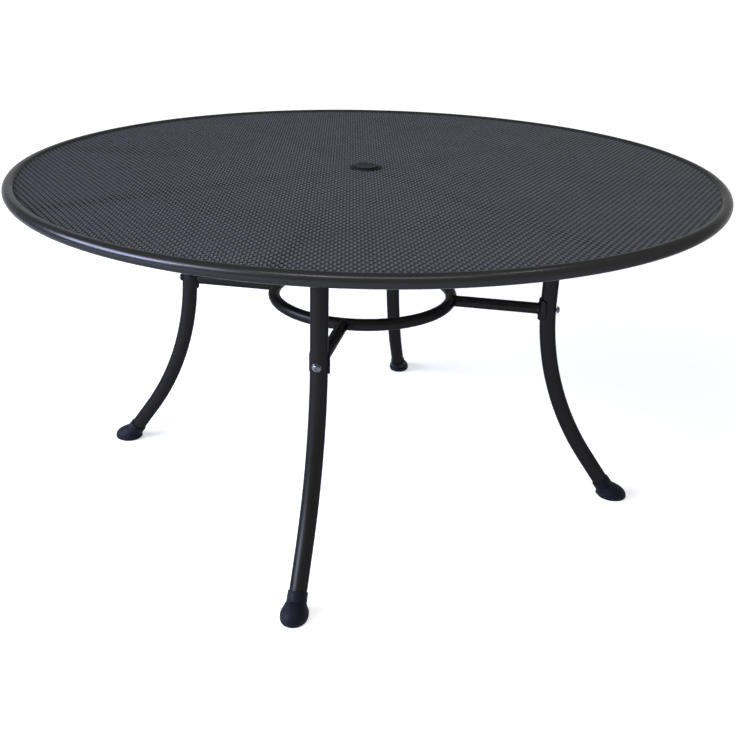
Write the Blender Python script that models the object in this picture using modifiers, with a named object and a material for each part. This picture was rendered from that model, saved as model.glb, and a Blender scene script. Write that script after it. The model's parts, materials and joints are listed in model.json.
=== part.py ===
"""Round garden table: an expanded-metal top in a tube rim, on four bent legs with a ring brace.

Metres, +Z up. The origin is on the floor under the middle of the top. The legs stand at the
right (+X), back (+Y), left (-X) and front (-Y), and the bars under the top lie between them.
"""
import math

import bmesh
import bpy
import numpy as np
from mathutils import Vector

# Whole table
TOP_DIAMETER = 1.500
TABLE_HEIGHT = 0.742
CLEARANCE = 0.0003

# Rim, a round tube rolled to a ring
RIM_TUBE = 0.025
RIM_WALL = 0.0015
RIM_STEPS = 64
DRAIN_HOLE = 0.006

# Expanded-metal sheet, its openings drawn eight times as large as the real ones
SHEET_THICKNESS = 0.004
SHEET_DROP = 0.0045
OPENING_LONG = 0.168
OPENING_SHORT = 0.0992
STRAND_WIDTH = 0.019
SHEET_TURN = math.radians(12)
SHEET_BORDER = 0.012
SMALLEST_OPENING = 0.0006

# Bars and arms, flat box tube under the sheet
MEMBER_WIDTH = 0.030
MEMBER_DEPTH = 0.012
MEMBER_WALL = 0.0015
ARM_INNER_RADIUS = 0.420

# Support ring, four arcs of round tube under the bars
SUPPORT_RADIUS = 0.505
SUPPORT_TUBE = 0.020
SUPPORT_WALL = 0.0015
SUPPORT_STEPS = 10

# Parasol hole: steel collar, plastic ring and cap
COLLAR_BORE = 0.054
COLLAR_WALL = 0.004
COLLAR_HEIGHT = 0.040
HOLE_RING_WIDTH = 0.068
HOLE_RING_FLANGE = 0.0015
HOLE_RING_BORE = 0.044
HOLE_RING_DEPTH = 0.024
CAP_WIDTH = 0.055
CAP_THICKNESS = 0.002
CAP_CROWN = 0.0006
CAP_PLUG_DEPTH = 0.012
CAP_WALL = 0.002

# Legs, round tube bent outwards at both ends
LEG_TUBE = 0.035
LEG_WALL = 0.0016
LEG_STAND_RADIUS = 0.417
LEG_SWEEP_HEIGHT = 0.4667
LEG_SWEEP_RADIUS = 0.630
LEG_SWEEP_ANGLE = math.radians(35.5)
LEG_TOP_BEND = 0.105
LEG_TOP_REACH = 0.600
LEG_END_HEIGHT = 0.0252
LEG_BEND_STEPS = 7

# Leg sockets, U-shaped channels under the arms
SOCKET_WALL = 0.004
SOCKET_DEPTH = 0.030
SOCKET_INNER_RADIUS = 0.470

# Leg bolts and their weld nuts
LEG_BOLT_RADIUS = 0.570
BOLT_SHANK = 0.008
BOLT_PLAY = 0.0003
HEX_HEAD_WIDTH = 0.013
HEX_HEAD_HEIGHT = 0.0053
NUT_HEIGHT = 0.0065
BOLT_TIP = 0.0005

# Brace: ring, stretchers and their fixings
BRACE_HEIGHT = 0.450
BRACE_RADIUS = 0.2017
BRACE_TUBE = 0.026
BRACE_WALL = 0.0015
BRACE_STEPS = 36
STRETCHER_TUBE = 0.025
STRETCHER_WALL = 0.0015
STRETCHER_BITE = 0.002
SADDLE_HEIGHT = 0.046
SADDLE_WALL = 0.0035
SADDLE_REACH = math.radians(80)
INSERT_LENGTH = 0.012
WASHER_WIDTH = 0.018
WASHER_THICKNESS = 0.0015
DOME_WIDTH = 0.0145
DOME_HEIGHT = 0.0050
DOME_EDGE = 0.0016
DOME_RINGS = 3

# Rubber boots
FOOT_WALL = 0.0022
FOOT_LIP_LENGTH = 0.0095
FOOT_LIP_WIDTH = 0.0078
FOOT_TOE = 0.002
FOOT_SLEEVE_TOP = 0.050
FOOT_SIDES = 16

# Facets and overrun of the cutters
LEG_RESOLUTION = 4
LEG_BORE_RESOLUTION = 2
ARC_RESOLUTION = 3
ARC_BORE_RESOLUTION = 1
RING_SIDES = 12
RING_BORE_SIDES = 6
HEX_SIDES = 6
SMALL_SIDES = 12
ROUND_SIDES = 24
OVERRUN = 0.010
WELD = 0.000001
SHARP_ANGLE = math.radians(32)

# Heights and radii that follow from the sizes above
RIM_RADIUS = (TOP_DIAMETER - RIM_TUBE) / 2
RIM_HEIGHT = TABLE_HEIGHT - RIM_TUBE / 2
SHEET_TOP = TABLE_HEIGHT - SHEET_DROP
SHEET_UNDERSIDE = SHEET_TOP - SHEET_THICKNESS
MEMBER_TOP = SHEET_UNDERSIDE - CLEARANCE
MEMBER_UNDERSIDE = MEMBER_TOP - MEMBER_DEPTH
MEMBER_REACH = RIM_RADIUS - RIM_TUBE / 2 - CLEARANCE
UNDER_MEMBERS = MEMBER_UNDERSIDE - CLEARANCE
SUPPORT_HEIGHT = UNDER_MEMBERS - SUPPORT_TUBE / 2
COLLAR_WIDTH = COLLAR_BORE + 2 * COLLAR_WALL
LEG_RADIUS = LEG_TUBE / 2
LEG_TOP_HEIGHT = UNDER_MEMBERS - SOCKET_WALL - CLEARANCE - LEG_RADIUS
SOCKET_GAP = LEG_TUBE + 2 * CLEARANCE
SOCKET_WIDTH = SOCKET_GAP + 2 * SOCKET_WALL
BOLT_HOLE = BOLT_SHANK + 2 * BOLT_PLAY
SADDLE_BORE = LEG_TUBE + 2 * CLEARANCE
SADDLE_WIDTH = SADDLE_BORE + 2 * SADDLE_WALL
SADDLE_FACE = LEG_STAND_RADIUS - SADDLE_WIDTH / 2
INSERT_FACE = SADDLE_FACE - CLEARANCE
SLEEVE_WIDTH = LEG_TUBE + 2 * CLEARANCE + 2 * FOOT_WALL

SIDES = ("right", "back", "left", "front")
CORNERS = ("back_right", "back_left", "front_left", "front_right")
QUARTER = math.pi / 2


# Scene, collections and materials
def clear_scene():
    for obj in list(bpy.data.objects):
        bpy.data.objects.remove(obj, do_unlink=True)


def new_collection(name):
    collection = bpy.data.collections.new(name)
    bpy.context.scene.collection.children.link(collection)
    return collection


def finish(name, colour, roughness, metallic):
    material = bpy.data.materials.new(name)
    material.use_nodes = True
    shader = material.node_tree.nodes["Principled BSDF"]
    shader.inputs["Base Color"].default_value = (*colour, 1)
    shader.inputs["Roughness"].default_value = roughness
    shader.inputs["Metallic"].default_value = metallic
    return material


clear_scene()
PARTS = new_collection("round_garden_table")
CUTTERS = new_collection("cutters")
COATED_STEEL = finish("powder_coated_steel", (0.050, 0.053, 0.060), 0.45, 0.0)
COATED_SHEET = finish("powder_coated_sheet", (0.080, 0.085, 0.100), 0.40, 0.0)
BLACK_PLASTIC = finish("black_plastic", (0.012, 0.012, 0.014), 0.50, 0.0)
BLACK_RUBBER = finish("black_rubber", (0.010, 0.011, 0.014), 0.75, 0.0)
ZINC_STEEL = finish("zinc_plated_steel", (0.560, 0.570, 0.600), 0.30, 1.0)


# Making and placing solids
def link(name, data):
    obj = bpy.data.objects.new(name, data)
    PARTS.objects.link(obj)
    return obj


def as_mesh(obj):
    """Replace a curve or a modified object by its finished mesh, with its caps welded."""
    bpy.context.view_layer.update()
    graph = bpy.context.evaluated_depsgraph_get()
    mesh = bpy.data.meshes.new_from_object(obj.evaluated_get(graph))
    bm = bmesh.new()
    bm.from_mesh(mesh)
    bmesh.ops.remove_doubles(bm, verts=bm.verts, dist=WELD)
    bm.to_mesh(mesh)
    bm.free()
    name = obj.name
    place = obj.matrix_world.copy()
    bpy.data.objects.remove(obj, do_unlink=True)
    mesh.name = name
    solid = link(name, mesh)
    solid.matrix_world = place
    return solid


def flat_solid(name, outlines, thickness):
    """A plate or a bar from closed outlines, the first one outside and the others holes."""
    curve = bpy.data.curves.new(name, "CURVE")
    curve.dimensions = "2D"
    curve.fill_mode = "BOTH"
    curve.extrude = thickness / 2
    for outline in outlines:
        spline = curve.splines.new("POLY")
        spline.points.add(len(outline) - 1)
        spline.use_cyclic_u = True
        for point, (x, y) in zip(spline.points, outline):
            point.co = (x, y, 0, 1)
    return link(name, curve)


def upright_solid(name, outlines, low, high):
    """Outlines in X and Y, standing from the height low to the height high."""
    obj = flat_solid(name, outlines, high - low)
    obj.location.z = (low + high) / 2
    return as_mesh(obj)


def radial_solid(name, outlines, inner, outer):
    """Outlines in Y and Z, running along X from the radius inner to the radius outer."""
    obj = flat_solid(name, outlines, outer - inner)
    obj.location.x = (inner + outer) / 2
    obj.rotation_euler = (QUARTER, 0, QUARTER)
    return as_mesh(obj)


def path_solid(name, points, diameter, resolution):
    """A round bar along a path, with closed ends."""
    curve = bpy.data.curves.new(name, "CURVE")
    curve.dimensions = "3D"
    curve.bevel_depth = diameter / 2
    curve.bevel_resolution = resolution
    curve.use_fill_caps = True
    spline = curve.splines.new("POLY")
    spline.points.add(len(points) - 1)
    for point, place in zip(spline.points, points):
        point.co = (*place, 1)
    return as_mesh(link(name, curve))


def rod(name, start, end, diameter, sides):
    """A straight round bar between two points."""
    axis = Vector(end) - Vector(start)
    mesh = bpy.data.meshes.new(name)
    bm = bmesh.new()
    bmesh.ops.create_cone(bm, cap_ends=True, segments=sides, radius1=diameter / 2,
                          radius2=diameter / 2, depth=axis.length)
    bm.to_mesh(mesh)
    bm.free()
    obj = link(name, mesh)
    obj.location = (Vector(start) + Vector(end)) / 2
    obj.rotation_euler = axis.to_track_quat("Z", "Y").to_euler()
    return obj


def hole_rod(name, start, end, diameter, sides):
    """A rod whose flat sides lie outside the true circle, for a round hole or a hexagon."""
    return rod(name, start, end, diameter / math.cos(math.pi / sides), sides)


def ring_solid(name, radius, diameter, height, steps, sides):
    """A ring of round bar, turned half a step so that its flats face the legs and the bars."""
    bpy.ops.mesh.primitive_torus_add(
        major_segments=steps, minor_segments=sides, major_radius=radius / math.cos(math.pi / steps),
        minor_radius=diameter / 2, location=(0, 0, height), rotation=(0, 0, math.pi / steps))
    ring = bpy.context.object
    ring.name = name
    for collection in list(ring.users_collection):
        collection.objects.unlink(ring)
    PARTS.objects.link(ring)
    return ring


def turned_solid(name, profile, steps, closed=False):
    """A turned piece: the profile runs down its outer side, from the top to the bottom."""
    count = len(profile)
    last = count if closed else count - 1
    mesh = bpy.data.meshes.new(name)
    mesh.from_pydata([(radius, 0, height) for radius, height in profile],
                     [(i, (i + 1) % count) for i in range(last)], [])
    obj = link(name, mesh)
    screw = obj.modifiers.new("turn", "SCREW")
    screw.steps = steps
    screw.render_steps = steps
    screw.use_merge_vertices = True
    screw.merge_threshold = WELD
    return obj


def round_outline(diameter, sides, centre=(0, 0)):
    """Corners of a round outline, with a flat side at each quarter."""
    return [(centre[0] + diameter / 2 * math.cos(math.tau * (i + 0.5) / sides),
             centre[1] + diameter / 2 * math.sin(math.tau * (i + 0.5) / sides))
            for i in range(sides)]


def hole_outline(diameter, sides, centre=(0, 0)):
    """A round outline whose flat sides lie outside the true circle."""
    return round_outline(diameter / math.cos(math.pi / sides), sides, centre)


def box_outline(width, low, high):
    return [(-width / 2, low), (width / 2, low), (width / 2, high), (-width / 2, high)]


def change(obj, operation, others):
    """Cut the others out of a solid, or join them to it, and keep them as hidden guides."""
    for other in others:
        step = obj.modifiers.new(other.name, "BOOLEAN")
        step.operation = operation
        step.solver = "EXACT"
        step.object = other
    solid = as_mesh(obj)
    for other in others:
        if other.name in PARTS.objects:
            PARTS.objects.unlink(other)
            CUTTERS.objects.link(other)
        other.hide_render = True
        other.display_type = "WIRE"
    return solid


def cut(obj, *cutters):
    return change(obj, "DIFFERENCE", cutters)


def join(obj, *additions):
    return change(obj, "UNION", additions)


def turn_about_centre(name, angle):
    """An empty at the middle of the table that carries the pieces at one side or corner."""
    station = link(f"station_{name}", None)
    station.rotation_euler.z = angle
    return station


def repeat(first, base, stations, material):
    """Give a piece its material and set one copy of it at each station."""
    first.data.materials.append(material)
    for name, station in stations.items():
        copy = first.copy()
        copy.name = f"{base}_{name}"
        copy.parent = station
        PARTS.objects.link(copy)
    bpy.data.objects.remove(first, do_unlink=True)


def single(obj, material):
    obj.data.materials.append(material)


SIDE_STATIONS = {name: turn_about_centre(name, i * QUARTER) for i, name in enumerate(SIDES)}
CORNER_STATIONS = {name: turn_about_centre(name, (i + 0.5) * QUARTER)
                   for i, name in enumerate(CORNERS)}


# Rim: a hollow ring with one small drain hole on its underside
rim = ring_solid("rim", RIM_RADIUS, RIM_TUBE, RIM_HEIGHT, RIM_STEPS, RING_SIDES)
rim_bore = ring_solid("rim_bore", RIM_RADIUS, RIM_TUBE - 2 * RIM_WALL, RIM_HEIGHT, RIM_STEPS,
                      RING_BORE_SIDES)
rim_drain = hole_rod("rim_drain", (RIM_RADIUS, 0, RIM_HEIGHT), (RIM_RADIUS, 0, RIM_HEIGHT - RIM_TUBE),
                     DRAIN_HOLE, SMALL_SIDES)
rim_bore = join(rim_bore, rim_drain)
rim = cut(rim, rim_bore)
single(rim, COATED_STEEL)


# Expanded-metal sheet: a round plate with a lattice of diamond openings
def clip(outline, normal, limit):
    """The part of a convex outline on the near side of a straight line."""
    kept = []
    for i, point in enumerate(outline):
        before = outline[i - 1]
        depth = point.dot(normal) - limit
        depth_before = before.dot(normal) - limit
        if (depth > 0) != (depth_before > 0):
            kept.append(before.lerp(point, depth_before / (depth_before - depth)))
        if depth <= 0:
            kept.append(point)
    return kept


def outline_area(outline):
    return abs(sum(outline[i - 1].cross(point) for i, point in enumerate(outline))) / 2


def sheet_openings(radius, hub_radius):
    """Diamonds on a turned lattice, cut short at the border and left out at the hub."""
    slope_length = math.hypot(OPENING_LONG, OPENING_SHORT)
    strand_share = STRAND_WIDTH * slope_length / (OPENING_LONG * OPENING_SHORT)
    half_long = OPENING_LONG / 2
    half_short = OPENING_SHORT / 2
    open_share = 1 - strand_share
    along = Vector((-math.sin(SHEET_TURN), math.cos(SHEET_TURN)))
    across = Vector((math.cos(SHEET_TURN), math.sin(SHEET_TURN)))
    diamond = (along * half_long, -across * half_short, -along * half_long, across * half_short)
    rows = math.ceil(radius / half_long)
    columns = math.ceil(radius / half_short)
    openings = []
    for row in range(-rows, rows + 1):
        for column in range(-columns, columns + 1):
            if (row + column) % 2:
                continue
            centre = along * (row * half_long) + across * (column * half_short)
            outline = [centre + corner * open_share for corner in diamond]
            for i in range(RIM_STEPS):
                angle = math.tau * i / RIM_STEPS
                outline = clip(outline, Vector((math.cos(angle), math.sin(angle))), radius)
            if len(outline) < 3 or outline_area(outline) < SMALLEST_OPENING:
                continue
            if centre.length < hub_radius + half_long:
                outline = clip(outline, -centre.normalized(), -hub_radius) if centre.length else []
            if len(outline) >= 3:
                openings.append([tuple(point) for point in outline])
    return openings


sheet_offset = SHEET_UNDERSIDE - RIM_HEIGHT
sheet_radius = RIM_RADIUS - math.sqrt((RIM_TUBE / 2) ** 2 - sheet_offset ** 2) - CLEARANCE
sheet_outlines = [hole_outline(2 * sheet_radius, RIM_STEPS),
                  hole_outline(COLLAR_WIDTH + 2 * CLEARANCE, ROUND_SIDES)]
sheet_outlines += sheet_openings(sheet_radius - SHEET_BORDER, COLLAR_WIDTH / 2 + SHEET_BORDER)
mesh_top = upright_solid("mesh_top", sheet_outlines, SHEET_UNDERSIDE, SHEET_TOP)
single(mesh_top, COATED_SHEET)


# Hub: a steel collar, a plastic ring with a flange in it, and the cap in the ring
collar_outlines = [round_outline(COLLAR_WIDTH, ROUND_SIDES), hole_outline(COLLAR_BORE, ROUND_SIDES)]
hub_collar = upright_solid("hub_collar", collar_outlines, SHEET_TOP - COLLAR_HEIGHT, SHEET_TOP)
single(hub_collar, COATED_STEEL)

flange_under = SHEET_TOP + CLEARANCE
flange_top = flange_under + HOLE_RING_FLANGE
ring_sleeve = COLLAR_BORE / 2 - CLEARANCE
ring_low = flange_under - HOLE_RING_DEPTH
flange_bevel = HOLE_RING_FLANGE / 2
hole_ring = turned_solid("hole_ring", [
    (HOLE_RING_BORE / 2, flange_top),
    (HOLE_RING_WIDTH / 2 - flange_bevel, flange_top),
    (HOLE_RING_WIDTH / 2, flange_top - flange_bevel),
    (HOLE_RING_WIDTH / 2, flange_under),
    (ring_sleeve, flange_under),
    (ring_sleeve, ring_low),
    (HOLE_RING_BORE / 2, ring_low)], ROUND_SIDES, closed=True)
single(hole_ring, BLACK_PLASTIC)

plug_radius = HOLE_RING_BORE / 2 * math.cos(math.pi / ROUND_SIDES) - CLEARANCE
plug_inner = plug_radius - CAP_WALL
cap_base = flange_top + CLEARANCE
hole_cap = turned_solid("hole_cap", [
    (0, CAP_THICKNESS),
    (CAP_WIDTH / 2 - CAP_CROWN, CAP_THICKNESS),
    (CAP_WIDTH / 2, CAP_THICKNESS - CAP_CROWN),
    (CAP_WIDTH / 2, 0),
    (plug_radius, 0),
    (plug_radius, -CAP_PLUG_DEPTH),
    (plug_inner, -CAP_PLUG_DEPTH),
    (plug_inner, 0),
    (0, 0)], ROUND_SIDES)
hole_cap.location.z = cap_base
single(hole_cap, BLACK_PLASTIC)


# Bars from the collar to the rim, between the legs
member_outlines = [box_outline(MEMBER_WIDTH, MEMBER_UNDERSIDE, MEMBER_TOP),
                   box_outline(MEMBER_WIDTH - 2 * MEMBER_WALL, MEMBER_UNDERSIDE + MEMBER_WALL,
                               MEMBER_TOP - MEMBER_WALL)]
bar = radial_solid("bar", member_outlines, COLLAR_WIDTH / 2 + CLEARANCE, MEMBER_REACH)
repeat(bar, "bar", CORNER_STATIONS, COATED_STEEL)


# Arms over the legs, with a weld nut inside each for the leg bolt
leg_bolt_seat = LEG_TOP_HEIGHT - LEG_RADIUS - CLEARANCE
nut_low = MEMBER_UNDERSIDE + MEMBER_WALL + CLEARANCE
bolt_top = nut_low + NUT_HEIGHT + BOLT_TIP
leg_bolt_hole = hole_rod("leg_bolt_hole", (LEG_BOLT_RADIUS, 0, leg_bolt_seat - OVERRUN),
                         (LEG_BOLT_RADIUS, 0, bolt_top), BOLT_HOLE, SMALL_SIDES)
arm = radial_solid("arm", member_outlines, ARM_INNER_RADIUS, MEMBER_REACH)
arm = cut(arm, leg_bolt_hole)
repeat(arm, "arm", SIDE_STATIONS, COATED_STEEL)

weld_nut = upright_solid("weld_nut", [hole_outline(HEX_HEAD_WIDTH, HEX_SIDES),
                                      hole_outline(BOLT_HOLE, SMALL_SIDES)],
                         nut_low, nut_low + NUT_HEIGHT)
weld_nut.location.x = LEG_BOLT_RADIUS
repeat(weld_nut, "weld_nut", SIDE_STATIONS, ZINC_STEEL)


# Leg sockets: a channel under each arm, open downwards, with the leg's end between its cheeks
socket_low = UNDER_MEMBERS - SOCKET_DEPTH
socket_ceiling = UNDER_MEMBERS - SOCKET_WALL
socket_outline = [(SOCKET_WIDTH / 2, socket_low), (SOCKET_WIDTH / 2, UNDER_MEMBERS),
                  (-SOCKET_WIDTH / 2, UNDER_MEMBERS), (-SOCKET_WIDTH / 2, socket_low),
                  (-SOCKET_GAP / 2, socket_low), (-SOCKET_GAP / 2, socket_ceiling),
                  (SOCKET_GAP / 2, socket_ceiling), (SOCKET_GAP / 2, socket_low)]
socket = radial_solid("leg_socket", [socket_outline], SOCKET_INNER_RADIUS, LEG_TOP_REACH)
socket = cut(socket, leg_bolt_hole)
repeat(socket, "leg_socket", SIDE_STATIONS, COATED_STEEL)


# Support ring: four arcs of tube from socket to socket, under the bars
def arc_path(first, last):
    return [(SUPPORT_RADIUS * math.cos(first + (last - first) * i / SUPPORT_STEPS),
             SUPPORT_RADIUS * math.sin(first + (last - first) * i / SUPPORT_STEPS),
             SUPPORT_HEIGHT) for i in range(SUPPORT_STEPS + 1)]


cheek_reach = SOCKET_WIDTH / 2 + CLEARANCE
arc_lean = math.asin(cheek_reach / SUPPORT_RADIUS) + QUARTER / (2 * SUPPORT_STEPS)
arc_end_reach = cheek_reach + SUPPORT_TUBE / 2 * math.sin(arc_lean)
arc_start = math.asin(arc_end_reach / SUPPORT_RADIUS) - QUARTER / 2
bore_start = arc_start - OVERRUN / SUPPORT_RADIUS
support_arc = path_solid("support_arc", arc_path(arc_start, -arc_start), SUPPORT_TUBE,
                         ARC_RESOLUTION)
support_bore = path_solid("support_bore", arc_path(bore_start, -bore_start),
                          SUPPORT_TUBE - 2 * SUPPORT_WALL, ARC_BORE_RESOLUTION)
support_arc = cut(support_arc, support_bore)
repeat(support_arc, "support_arc", CORNER_STATIONS, COATED_STEEL)


# Legs: a straight foot end, a long sweep, an upright stretch and a bend out into the socket
def leg_axis(height):
    """Radius of the leg's centreline at a height on the sweep or the upright stretch."""
    drop = max(LEG_SWEEP_HEIGHT - height, 0)
    return LEG_STAND_RADIUS + LEG_SWEEP_RADIUS - math.sqrt(LEG_SWEEP_RADIUS ** 2 - drop ** 2)


sweep_low = LEG_SWEEP_HEIGHT - LEG_SWEEP_RADIUS * math.sin(LEG_SWEEP_ANGLE)
sweep_low_radius = leg_axis(sweep_low)
floor_radius = sweep_low_radius + sweep_low * math.tan(LEG_SWEEP_ANGLE)


def foot_axis(distance):
    """A point on the foot end's centreline, at a distance up the leg from the floor."""
    return Vector((floor_radius - distance * math.sin(LEG_SWEEP_ANGLE), 0,
                   distance * math.cos(LEG_SWEEP_ANGLE)))


def leg_path(overrun):
    points = [foot_axis(LEG_END_HEIGHT / math.cos(LEG_SWEEP_ANGLE) - overrun)]
    for i in range(LEG_BEND_STEPS + 1):
        angle = LEG_SWEEP_ANGLE * (1 - i / LEG_BEND_STEPS)
        height = LEG_SWEEP_HEIGHT - LEG_SWEEP_RADIUS * math.sin(angle)
        points.append((leg_axis(height), 0, height))
    for i in range(LEG_BEND_STEPS + 1):
        angle = QUARTER * i / LEG_BEND_STEPS
        points.append((LEG_STAND_RADIUS + LEG_TOP_BEND * (1 - math.cos(angle)), 0,
                       LEG_TOP_HEIGHT - LEG_TOP_BEND * (1 - math.sin(angle))))
    points.append((LEG_TOP_REACH + overrun, 0, LEG_TOP_HEIGHT))
    return points


def leg_axis_at(height):
    """Radius of the bent centreline as it is drawn, in short straight lengths."""
    stretch = leg_path(0)[:LEG_BEND_STEPS + 3]
    return np.interp(height, [point[2] for point in stretch], [point[0] for point in stretch])


leg = path_solid("leg", leg_path(0), LEG_TUBE, LEG_RESOLUTION)
leg_bore = path_solid("leg_bore", leg_path(OVERRUN), LEG_TUBE - 2 * LEG_WALL,
                      LEG_BORE_RESOLUTION)
washer_low = BRACE_HEIGHT - WASHER_WIDTH / 2
washer_inner = leg_axis_at(washer_low) + LEG_RADIUS + CLEARANCE
dome_seat = washer_inner + WASHER_THICKNESS + CLEARANCE
brace_bolt_end = INSERT_FACE - INSERT_LENGTH - STRETCHER_BITE
brace_bolt_hole = hole_rod("brace_bolt_hole", (brace_bolt_end, 0, BRACE_HEIGHT),
                           (dome_seat, 0, BRACE_HEIGHT), BOLT_HOLE, SMALL_SIDES)
leg = cut(leg, leg_bolt_hole, brace_bolt_hole, leg_bore)
repeat(leg, "leg", SIDE_STATIONS, COATED_STEEL)


# Leg bolts: a hexagon head under the leg's end, the shank up through socket, arm and nut
leg_bolt = rod("leg_bolt", (LEG_BOLT_RADIUS, 0, leg_bolt_seat - HEX_HEAD_HEIGHT / 2),
               (LEG_BOLT_RADIUS, 0, bolt_top - BOLT_TIP / 2), BOLT_SHANK, SMALL_SIDES)
hex_head = hole_rod("hex_head", (LEG_BOLT_RADIUS, 0, leg_bolt_seat - HEX_HEAD_HEIGHT),
                    (LEG_BOLT_RADIUS, 0, leg_bolt_seat), HEX_HEAD_WIDTH, HEX_SIDES)
leg_bolt = join(leg_bolt, hex_head)
repeat(leg_bolt, "leg_bolt", SIDE_STATIONS, ZINC_STEEL)


# Brace ring with a drain hole, and stretchers shaped to the ring and to the saddles
brace_ring = ring_solid("brace_ring", BRACE_RADIUS, BRACE_TUBE, BRACE_HEIGHT, BRACE_STEPS,
                        RING_SIDES)
brace_bore = ring_solid("brace_bore", BRACE_RADIUS, BRACE_TUBE - 2 * BRACE_WALL, BRACE_HEIGHT,
                        BRACE_STEPS, RING_BORE_SIDES)
brace_drain = hole_rod("brace_drain", (BRACE_RADIUS, 0, BRACE_HEIGHT),
                       (BRACE_RADIUS, 0, BRACE_HEIGHT - BRACE_TUBE), DRAIN_HOLE, SMALL_SIDES)
brace_bore = join(brace_bore, brace_drain)
brace_ring = cut(brace_ring, brace_bore)
single(brace_ring, COATED_STEEL)

stretcher_bore = STRETCHER_TUBE - 2 * STRETCHER_WALL
stretcher_centre = (0, BRACE_HEIGHT)
stretcher = radial_solid("stretcher", [round_outline(STRETCHER_TUBE, SMALL_SIDES, stretcher_centre),
                                       hole_outline(stretcher_bore, SMALL_SIDES, stretcher_centre)],
                         BRACE_RADIUS + STRETCHER_BITE, LEG_STAND_RADIUS - STRETCHER_TUBE / 2)
ring_seat = ring_solid("ring_seat", BRACE_RADIUS, BRACE_TUBE + 2 * CLEARANCE, BRACE_HEIGHT,
                       BRACE_STEPS, RING_SIDES)
saddle_seat = hole_rod("saddle_seat", (LEG_STAND_RADIUS, 0, BRACE_HEIGHT - STRETCHER_TUBE),
                       (LEG_STAND_RADIUS, 0, BRACE_HEIGHT + STRETCHER_TUBE),
                       SADDLE_WIDTH + 2 * CLEARANCE, ROUND_SIDES)
stretcher = cut(stretcher, ring_seat, saddle_seat)
repeat(stretcher, "stretcher", SIDE_STATIONS, COATED_STEEL)


# Saddles: a curved plate round the inner side of each leg
def arc_outline(diameter, first, last):
    return [(diameter / 2 * math.cos(first + (last - first) * i / SMALL_SIDES),
             diameter / 2 * math.sin(first + (last - first) * i / SMALL_SIDES))
            for i in range(SMALL_SIDES + 1)]


saddle_outline = (arc_outline(SADDLE_WIDTH, math.pi - SADDLE_REACH, math.pi + SADDLE_REACH)
                  + arc_outline(SADDLE_BORE, math.pi + SADDLE_REACH, math.pi - SADDLE_REACH))
saddle = upright_solid("saddle", [saddle_outline], BRACE_HEIGHT - SADDLE_HEIGHT / 2,
                       BRACE_HEIGHT + SADDLE_HEIGHT / 2)
saddle.location.x = LEG_STAND_RADIUS
saddle = cut(saddle, brace_bolt_hole)
repeat(saddle, "saddle", SIDE_STATIONS, COATED_STEEL)


# Inserts in the stretchers' ends, washers on the legs, and domed bolts through them all
insert = radial_solid("stretcher_insert", [
    round_outline(stretcher_bore - 2 * CLEARANCE, SMALL_SIDES, stretcher_centre),
    hole_outline(BOLT_HOLE, SMALL_SIDES, stretcher_centre)], INSERT_FACE - INSERT_LENGTH, INSERT_FACE)
repeat(insert, "stretcher_insert", SIDE_STATIONS, ZINC_STEEL)

washer = radial_solid("brace_washer", [
    round_outline(WASHER_WIDTH, SMALL_SIDES, stretcher_centre),
    hole_outline(BOLT_HOLE, SMALL_SIDES, stretcher_centre)],
    washer_inner, washer_inner + WASHER_THICKNESS)
repeat(washer, "brace_washer", SIDE_STATIONS, ZINC_STEEL)

dome_profile = []
for i in range(DOME_RINGS + 1):
    lean = QUARTER * i / DOME_RINGS
    dome_profile.append((DOME_WIDTH / 2 * math.sin(lean),
                         DOME_EDGE + (DOME_HEIGHT - DOME_EDGE) * math.cos(lean)))
shank_length = dome_seat - brace_bolt_end
dome_profile += [(DOME_WIDTH / 2, 0), (BOLT_SHANK / 2, 0), (BOLT_SHANK / 2, -shank_length),
                 (0, -shank_length)]
brace_bolt = turned_solid("brace_bolt", dome_profile, SMALL_SIDES)
brace_bolt.location = (dome_seat, 0, BRACE_HEIGHT)
brace_bolt.rotation_euler.y = QUARTER
repeat(brace_bolt, "brace_bolt", SIDE_STATIONS, ZINC_STEEL)


# Rubber boots: an oval pad flat on the floor that narrows into a sleeve round the leg's end
def foot_section(centre, tilt, half_length, half_width):
    """Corners of one oval section, its long way tilted with the leg."""
    corners = []
    for i in range(FOOT_SIDES):
        angle = math.tau * i / FOOT_SIDES
        reach = half_length * math.cos(angle)
        corners.append(centre + Vector((reach * math.cos(tilt), half_width * math.sin(angle),
                                        reach * math.sin(tilt))))
    return corners


def foot_sections():
    """Sections from the floor up: height share, tilt share, and share of the pad's swell."""
    leg_end = LEG_END_HEIGHT / math.cos(LEG_SWEEP_ANGLE)
    sleeve_half = SLEEVE_WIDTH / 2
    pad_length = sleeve_half / math.cos(LEG_SWEEP_ANGLE) + FOOT_LIP_LENGTH
    pad_width = sleeve_half + FOOT_LIP_WIDTH
    sleeve_low = foot_axis(leg_end - FOOT_WALL / 2)
    pad_centre = floor_radius + FOOT_TOE
    shares = ((0, 0, 0.72), (0.15, 0, 0.95), (0.37, 0.17, 1), (0.60, 0.40, 0.83),
              (0.85, 0.79, 0.35), (1, 1, 0))
    sections = []
    for lift, lean, swell in shares:
        centre = Vector((pad_centre + (sleeve_low.x - pad_centre) * lift ** 2, 0,
                         sleeve_low.z * lift))
        sections.append(foot_section(centre, LEG_SWEEP_ANGLE * lean,
                                     sleeve_half + (pad_length - sleeve_half) * swell,
                                     sleeve_half + (pad_width - sleeve_half) * swell))
    sections.append(foot_section(foot_axis(FOOT_SLEEVE_TOP), LEG_SWEEP_ANGLE, sleeve_half,
                                 sleeve_half))
    return sections


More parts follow.
